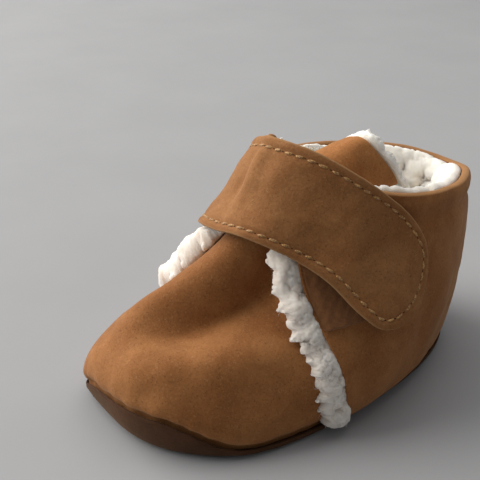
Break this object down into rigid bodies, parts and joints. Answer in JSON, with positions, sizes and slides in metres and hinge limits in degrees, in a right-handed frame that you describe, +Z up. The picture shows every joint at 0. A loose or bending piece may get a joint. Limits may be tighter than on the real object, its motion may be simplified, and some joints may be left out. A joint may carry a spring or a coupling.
{
  "type": "baby bootie",
  "caption": "Soft left-foot baby bootie in tan nubuck with a curly cream fleece lining, a tongue and a wide hook-and-loop strap over the instep.",
  "frame": {"origin": "centre of the object's box in plan, on the plane the outsole stands on", "axes": "+Z up, toe towards -Y, outer side of the foot towards +X, heel towards +Y"},
  "size_m": [0.0804, 0.1304, 0.0823],
  "materials": {
    "nubuck": "matte nubuck, tan, short nap with darker flecks",
    "strap_nubuck": "matte nubuck, tan, a little darker than the upper",
    "fleece": "curly cream fleece",
    "sole_suede": "brown suede",
    "strap_backing": "brown brushed backing",
    "loop_cloth": "brown brushed loop cloth",
    "hook_tape": "brown hook tape"
  },
  "bodies": {
    "upper": {"outsole": "sole_suede", "footbed": "fleece", "vamp": "nubuck", "vamp_lining": "fleece", "quarter": "nubuck", "quarter_lining": "fleece", "loop_patch": "loop_cloth", "anchor_patch": "loop_cloth", "tongue_base": "nubuck", "tongue_base_lining": "fleece", "strap_anchor": "strap_nubuck", "strap_anchor_backing": "strap_backing"},
    "strap_bridge": {"strap_bridge": "strap_nubuck", "strap_bridge_backing": "strap_backing"},
    "strap_shoulder": {"strap_shoulder": "strap_nubuck", "strap_shoulder_backing": "strap_backing"},
    "strap_tab": {"strap_tab": "strap_nubuck", "strap_tab_backing": "strap_backing", "hook_patch": "hook_tape"},
    "tongue_flap": {"tongue_flap": "nubuck", "tongue_flap_lining": "fleece"}
  },
  "joints": [
    {"name": "strap_fold", "type": "hinge", "parent": "upper", "child": "strap_bridge", "pos_m": [-0.01602, -0.01588, 0.06285], "axis": [0.021, -0.7465, -0.6651], "range_deg": [0, 110]},
    {"name": "strap_shoulder_bend", "type": "hinge", "parent": "strap_bridge", "child": "strap_shoulder", "pos_m": [0.01029, -0.02074, 0.07056], "axis": [0.0616, -0.5091, -0.8585], "range_deg": [0, 27.5]},
    {"name": "strap_tab_bend", "type": "hinge", "parent": "strap_shoulder", "child": "strap_tab", "pos_m": [0.0289, -0.00545, 0.05984], "axis": [-0.0406, -0.6369, -0.7699], "range_deg": [0, 27.5]},
    {"name": "tongue_bend", "type": "hinge", "parent": "upper", "child": "tongue_flap", "pos_m": [0.00338, 0.00876, 0.06201], "axis": [-0.9929, -0.1186, -0.0084], "range_deg": [0, 13]}
  ],
  "couplings": [
    {"joint": "strap_shoulder_bend", "follows": "strap_fold", "ratio": 0.25},
    {"joint": "strap_tab_bend", "follows": "strap_fold", "ratio": 0.25}
  ]
}
